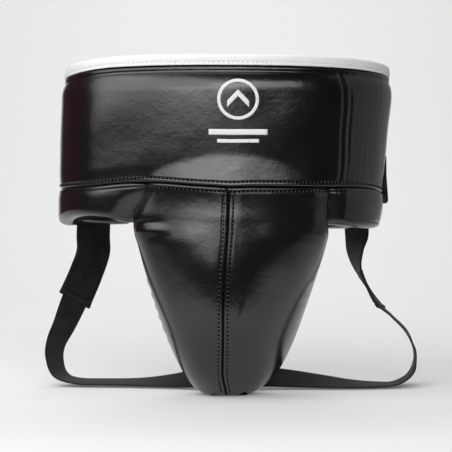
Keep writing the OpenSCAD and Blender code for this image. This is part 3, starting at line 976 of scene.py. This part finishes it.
def build_binding():
    t = np.linspace(-WING_END - 1.2, WING_END + 1.2, 420)
    outline = binding_outline()
    core = outline.copy()
    core[:, 0] = -EDGE_T / 2 + (outline[:, 0] + EDGE_T / 2) * 0.64
    core[:, 1] = np.minimum(outline[:, 1], -1.3)
    z = top_edge(t)[:, None]
    x, _ = plan(t)
    pucker = 0.22 * np.sin(2 * np.pi * x / 4.7)[:, None] * bell(outline[None, :, 1] + 8, 3)
    slack = 0.35 * ripple(x[:, None], outline[None, :, 1] * 2, 5, 22)
    front = np.where(outline[None, :, 0] > -EDGE_T / 2, 1, -1)
    off = outline[None, :, 0] + (pucker + slack * 0.5) * front
    groove = -0.45 * bell(outline[None, :, 1] + BINDING_ROW, 0.9) * front
    outer = warp(on_wall(t[:, None], off + groove, z + outline[None, :, 1] + 0.4 * slack))
    inner = warp(on_wall(t[:, None], np.broadcast_to(core[None, :, 0], off.shape), z + core[None, :, 1]))
    return shell("top_binding_leather", outer, inner, white_leather)


place(build_binding(), "white_leather", "top_binding")


def row_angles(low, high, count):
    """Angles of a row of stitches, which stops just short of the wings' ends."""
    return np.linspace(max(low, -WING_END + 1), min(high, WING_END - 1), count)


def binding_rows():
    """Paths of the binding's stitches, on its front and on its back."""
    t = row_angles(-WING_END, WING_END, 900)
    rows = []
    for off, out in ((BINDING_OUT, 1), (-EDGE_T - BINDING_OUT, -1)):
        points, normals = wall_path(t, np.full_like(t, off - 0.35 * out), top_edge(t) - BINDING_ROW)
        rows.append((points, normals * out))
    return rows


def waist_rows():
    """Paths of the stitches on both sides of the waist seam: over it, on the hip pads and on the cup."""
    t = row_angles(-WING_END, WING_END, 900)
    z = np.full_like(t, SEAM_Z + 0.3 + ROW_OFF)
    rows = [wall_path(t, band_face(t, z), z)]
    z_low = SEAM_Z - 0.6 - ROW_OFF
    for low, high in ((-WING_END, -39.6), (45.4, WING_END)):
        t = row_angles(low, high, 400)
        z = np.full_like(t, z_low)
        rows.append(wall_path(t, hip_face(t, z, np.sign(low)), z))
    rows.append(cup_line(np.linspace(-0.985, 0.985, 400), np.full(400, cup_q(z_low))))
    return rows


def centre_rows():
    """Paths of the stitches on both sides of the centre seam."""
    q = np.linspace(0.045, 0.93, 700)
    return [cup_path(-ROW_OFF, q), cup_path(ROW_OFF, q)]


def sew(name, rows, lift):
    """A seam's stitches, in thread painted dark as the shade of their holes, and the leather puckered up
    between them, painted lighter as a highlight.
    """
    place(stitches(f"{name}_stitches", rows, shaded_sunk_thread, length=2.5, radius=0.85, lift=lift),
          "black_leather")
    place(stitches(f"{name}_puckers", rows, highlit_pucker_leather, length=2.0, radius=0.8, start_at=STITCH_PITCH,
                   lift=lift - 0.15), "black_leather")


place(stitches("binding_stitches", binding_rows(), white_thread, pitch=4.7, length=3.3, radius=0.42),
      "white_leather")
sew("waist_seam", waist_rows(), 0.1)
sew("centre_seam", centre_rows(), -0.2)


def build_welt_waist():
    """The folded edge that lies in the waist seam."""
    t = np.linspace(-WING_END + 0.5, WING_END - 0.5, 500)
    a = ring_angles(8)
    rise = seam_out(t)[:, None] - 1.7
    grid = warp(on_wall(t[:, None], rise + 0.8 * np.cos(a)[None, :], SEAM_Z + 0.4 * np.sin(a)[None, :]))
    return make_object("waist_seam_fold", grid.reshape(-1, 3), tube_faces(*grid.shape[:2]), seam_dark)


def build_welt_centre():
    """The folded edge that lies in the centre seam."""
    q = np.linspace(0.01, 0.985, 300)
    plain, normal = cup_seam_line(np.zeros_like(q), q, 0.006)
    a = ring_angles(8)[None, :, None]
    across = np.array([1.0, 0, 0])
    grid = plain[:, None] + across * 0.45 * np.cos(a) + normal[:, None] * (-0.86 + 0.8 * np.sin(a))
    return make_object("centre_seam_fold", grid.reshape(-1, 3), tube_faces(*grid.shape[:2]), seam_dark)


place(build_welt_waist(), "black_leather", "waist_seam_welt")
place(build_welt_centre(), "black_leather", "centre_seam_welt")


# ---- the mark: a plain ring round a chevron, over two bars ----

EMBLEM_X, EMBLEM_Z = 7, 291.5


def on_front(x, z):
    """Angle and offset of a point just proud of the band's face, at x across and z up."""
    t = np.degrees(np.arctan2(x, BAND_HALF_D * (1 - 0.12 * (x / 100) ** 2)))
    for _ in range(3):
        px, _ = plan(t)
        t = t + (x - px) * 0.45
    return t, band_face(t, z) + 0.28


def mark_strip(inner, outer):
    """Front and rear grids of a strip of print between two lines of (x, z) points."""
    cols = []
    for k in np.linspace(0, 1, 5):
        x, z = (mix(inner, outer, k) + (EMBLEM_X, EMBLEM_Z)).T
        t, off = on_front(x, z)
        cols.append((t, off, z))
    front = np.stack([warp(on_wall(t, off, z)) for t, off, z in cols], axis=1)
    rear = np.stack([warp(on_wall(t, off - 0.22, z)) for t, off, z in cols], axis=1)
    return front, rear


def circle(r):
    a = np.linspace(0, 2 * math.pi, 96)
    return np.stack([r * np.cos(a), r * np.sin(a)], axis=1)


def line(points):
    points = np.array(points, float)
    k = np.linspace(0, len(points) - 1, 24)
    return np.stack([np.interp(k, range(len(points)), points[:, i]) for i in (0, 1)], axis=1)


def build_mark():
    """The print, joined as one piece."""
    outlines = (
        (circle(20), circle(16.8)),
        (line([(-10.5, -8), (0, 3), (10.5, -8)]), line([(-10.5, -1.5), (0, 9.5), (10.5, -1.5)])),
        (line([(-28, -34.5), (28, -34.5)]), line([(-28, -29), (28, -29)])),
        (line([(-20, -42), (20, -42)]), line([(-20, -38.6), (20, -38.6)])),
    )
    marks = []
    for k, (a, b) in enumerate(outlines):
        front, rear = mark_strip(a, b)
        marks.append(shell(f"front_mark_{k}", front, rear, white_ink))
    bpy.ops.object.select_all(action="DESELECT")
    for obj in marks:
        obj.select_set(True)
    bpy.context.view_layer.objects.active = marks[0]
    bpy.ops.object.join()
    marks[0].name = "front_mark"
    return marks[0]


place(build_mark(), "white_print", "front_emblem")


# ---- straps, belt and closure ----

def bridge(obj, slot, first, second, start, end, *nodes):
    """Bake a piece's placement into its mesh and hide the CAD nodes it stands for. slot, first, second,
    start and end are not used.
    """
    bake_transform(obj)
    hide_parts(*nodes)


for side_name, sign, route, across in (
    ("left", -1, LEFT_ROUTE, LEFT_ACROSS), ("right", 1, RIGHT_ROUTE, RIGHT_ACROSS),
):
    body = f"leg_loop_{side_name}"
    tab, strap_piece, hem, sewn = build_leg_loop(side_name, sign, route, across)
    bridge(tab, "webbing", "guard", body,
           (sign * 0.145, 0.131, 0.174), (sign * 0.144, 0.129, 0.142), f"leg_tab_{side_name}")
    bridge(strap_piece, "elastic", body, "guard",
           (sign * 0.056, 0.057, 0.012), (sign * 0.026, 0.056, 0.012), f"leg_strap_{side_name}")
    place(hem, "webbing", body=body)
    place(sewn, "webbing", body=body)


def tilt(t):
    """Lean of the belt's lower edge away from the band, toward the closure."""
    return 0.07 * smooth((-225 - t) / 35)


def wrapped_strip(name, t0, t1, off, z0, z1, thick, material, n):
    """A strip that follows the band's plan, standing off it."""
    t = np.linspace(t0, t1, n)
    z = (z0 + z1) / 2
    p = warp(on_wall(t, off(t), z))
    out = warp(on_wall(t, off(t) + 1, z)) - p
    side = unit(np.array([0.0, 0, 1]) - out * tilt(t)[:, None])
    d = unit(np.gradient(p, axis=0))
    return strap(name, (p, d, side, np.cross(d, side)), z1 - z0, thick, material)


def belt_off(t):
    """How far the belt's free part stands off the band's plan."""
    return 2.9 + 3.0 * smooth((-198 - t) / 40)


def sewn_belt_off(t):
    """The same for the whole belt, which starts on the outside of the left wing."""
    on_wing = mix(belt_off(t), crown_at(t) + 3.4, smooth((t + 140) / 8))
    return np.where(t > -138, on_wing, belt_off(t))


belt = wrapped_strip("rear_belt_elastic", -118, -248.5, sewn_belt_off, BELT_Z, BELT_Z + BELT_H,
                     1.9, elastic, n=240)
bridge(belt, "elastic", "guard", "belt",
       on_wall(-133.5, 3, BELT_MID_Z) * MM, on_wall(-140, 3, BELT_MID_Z) * MM, "rear_belt", "belt_anchor")

tab = wrapped_strip("closure_tab_cloth", -245, -271.5, lambda t: belt_off(t) + 1.4,
                    BELT_Z - 1, BELT_Z + BELT_H + 1, 2.0, closure_cloth, n=60)
bridge(tab, "closure_fabric", "belt", "closure",
       on_wall(-247, 8, BELT_MID_Z) * MM, on_wall(-251, 8, BELT_MID_Z) * MM, "closure_tab")

TAPE_Z = (BELT_Z + 12, BELT_Z + BELT_H - 3)
place(wrapped_strip("hook_tape_strip", -251, -271, lambda t: belt_off(t) - 0.3, *TAPE_Z,
                    1.1, hook_tape, n=40), "hook_tape", "hook_patch", body="closure")
place(wrapped_strip("loop_tape_strip", 84, 118, lambda t: crown_at(t) + 1.3, *TAPE_Z,
                    1.2, loop_tape, n=60), "loop_tape", "loop_patch")

# the CAD's anchors are carried over as they are, in materials of their own
for name, material in (
    ("strap_anchor_left", webbing), ("strap_anchor_right", webbing), ("crotch_anchor", black_leather),
):
    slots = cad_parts[name].data.materials
    slots.clear()
    slots.append(material)


# ---- floor, backdrop, lights and camera, in metres ----

FLOOR_Z = -0.0006
PAPER_GLOW = 0.1
PAPER_TONE = 0.8
LENS = 103.5
SENSOR_W = 36
CAMERA_AZIMUTH = 2.0
CAMERA_DISTANCE = 1.3
CAMERA_LEFT = 0.003
CAMERA_Z = 0.169


def area_light(name, at, aim, size, power, colour=(1, 1, 1)):
    data = bpy.data.lights.new(name, "AREA")
    data.shape = "RECTANGLE"
    data.size, data.size_y = size
    data.energy = power
    data.color = colour
    obj = add_object(name, data)
    obj.location = at
    obj.rotation_euler = (Vector(aim) - Vector(at)).to_track_quat("-Z", "Y").to_euler()


def paper_material(name, start, end):
    """White paper with a faint glow. Painted shade darkens its colour and glow from start to end, going
    forward, and at its sides.
    """
    material, tree, shader = new_material(name)
    split = add_node(tree, "ShaderNodeSeparateXYZ", {0: object_coords(tree)})
    # Painted shade: the paper's colour and glow fall off going forward, and to its sides toward the front.
    painted_light_share = math_node(tree, "POWER", ramp(tree, split.outputs["Y"], 0, 1, end, start), 1.5)
    beside = ramp(tree, math_node(tree, "ABSOLUTE", split.outputs["X"]), 0, 0.7, 0.27, 0.55)
    beside = times(tree, beside, ramp(tree, split.outputs["Y"], 1, 0, -0.05, 0.4))
    painted_light_share = times(tree, painted_light_share, math_node(tree, "SUBTRACT", 1, beside))
    painted_light_share = times(tree, painted_light_share, ramp(tree, split.outputs["Y"], 0.98, 1, -0.3, 0.25))
    set_inputs(tree, shader, {
        "Base Color": colour_between(tree, painted_light_share, (0, 0, 0), (PAPER_TONE, PAPER_TONE, PAPER_TONE)),
        "Emission Color": (1, 1, 1, 1),
        "Emission Strength": times(tree, painted_light_share, PAPER_GLOW),
        "Roughness": 0.9,
        "Specular IOR Level": 0,
    })
    return material


def sweep(name, half_width, front, rear, height, radius, material):
    """A floor that curves up into a backdrop."""
    profile = [(front, FLOOR_Z), (front * 0.5, FLOOR_Z), (0.3, FLOOR_Z), (rear - radius, FLOOR_Z)]
    for a in np.linspace(0, math.pi / 2, 13)[1:]:
        profile.append((rear - radius + radius * math.sin(a), FLOOR_Z + radius * (1 - math.cos(a))))
    profile.append((rear, height))
    verts, faces = [], []
    for y, z in profile:
        verts += [(-half_width, y, z), (half_width, y, z)]
    for k in range(len(profile) - 1):
        faces.append((2 * k, 2 * k + 1, 2 * k + 3, 2 * k + 2))
    mesh = bpy.data.meshes.new(name)
    mesh.from_pydata(verts, [], faces)
    mesh.polygons.foreach_set("use_smooth", [True] * len(faces))
    mesh.materials.append(material)
    add_object(name, mesh)


def build_stage():
    paper = paper_material("sweep", -0.33, -0.88)
    sweep("studio_sweep", 1.3, -1.0, 2.6, 3.5, 0.9, paper)
    world = bpy.data.worlds.new("studio")
    bpy.context.scene.world = world
    world.use_nodes = True
    background = world.node_tree.nodes["Background"]
    background.inputs["Color"].default_value = (1, 1, 1, 1)
    background.inputs["Strength"].default_value = 0.03
    area_light("right_side", (1.5, 1.0, 1.1), (0, 1.0, 1.1), (3.1, 2.2), 6.5)
    area_light("red_side", (-1.6, 1.25, 0.8), (0, 1.25, 0.8), (2.3, 1.6), 0.85, (1, 0.12, 0.35))
    area_light("key", (-0.66, -0.96, 0.98), (0.1, -0.08, 0.3), (2.1, 0.95), 8)
    area_light("key_rim", (-0.71, -0.95, 0.99), (0.06, -0.06, 0.3), (2.7, 1.35), 16)
    area_light("front_low", (0.0, -1.45, 0.72), (0, 0, 0.24), (1.3, 0.28), 1.6)
    area_light("front_top", (0.36, -1.33, 1.0), (0, 0, 0.25), (0.9, 0.5), 3.6)
    area_light("overhead", (-0.7, 0.1, 2.3), (0, 0.2, 0), (2.2, 2.2), 13)
    area_light("backdrop", (0, 1.3, 2.3), (0, 2.6, 0.4), (2.2, 0.8), 28.5)


def build_camera():
    data = bpy.data.cameras.new("camera")
    data.lens = LENS
    data.sensor_width = SENSOR_W
    obj = add_object("camera", data)
    azimuth = math.radians(CAMERA_AZIMUTH)
    heading = np.array([math.sin(azimuth), math.cos(azimuth), 0])
    right = np.array([math.cos(azimuth), -math.sin(azimuth), 0])
    obj.location = -heading * CAMERA_DISTANCE - right * CAMERA_LEFT + np.array([0, 0, CAMERA_Z])
    obj.rotation_euler = (math.radians(90), 0, -azimuth)
    bpy.context.scene.camera = obj


build_stage()
build_camera()
bpy.context.scene.view_settings.view_transform = "Standard"
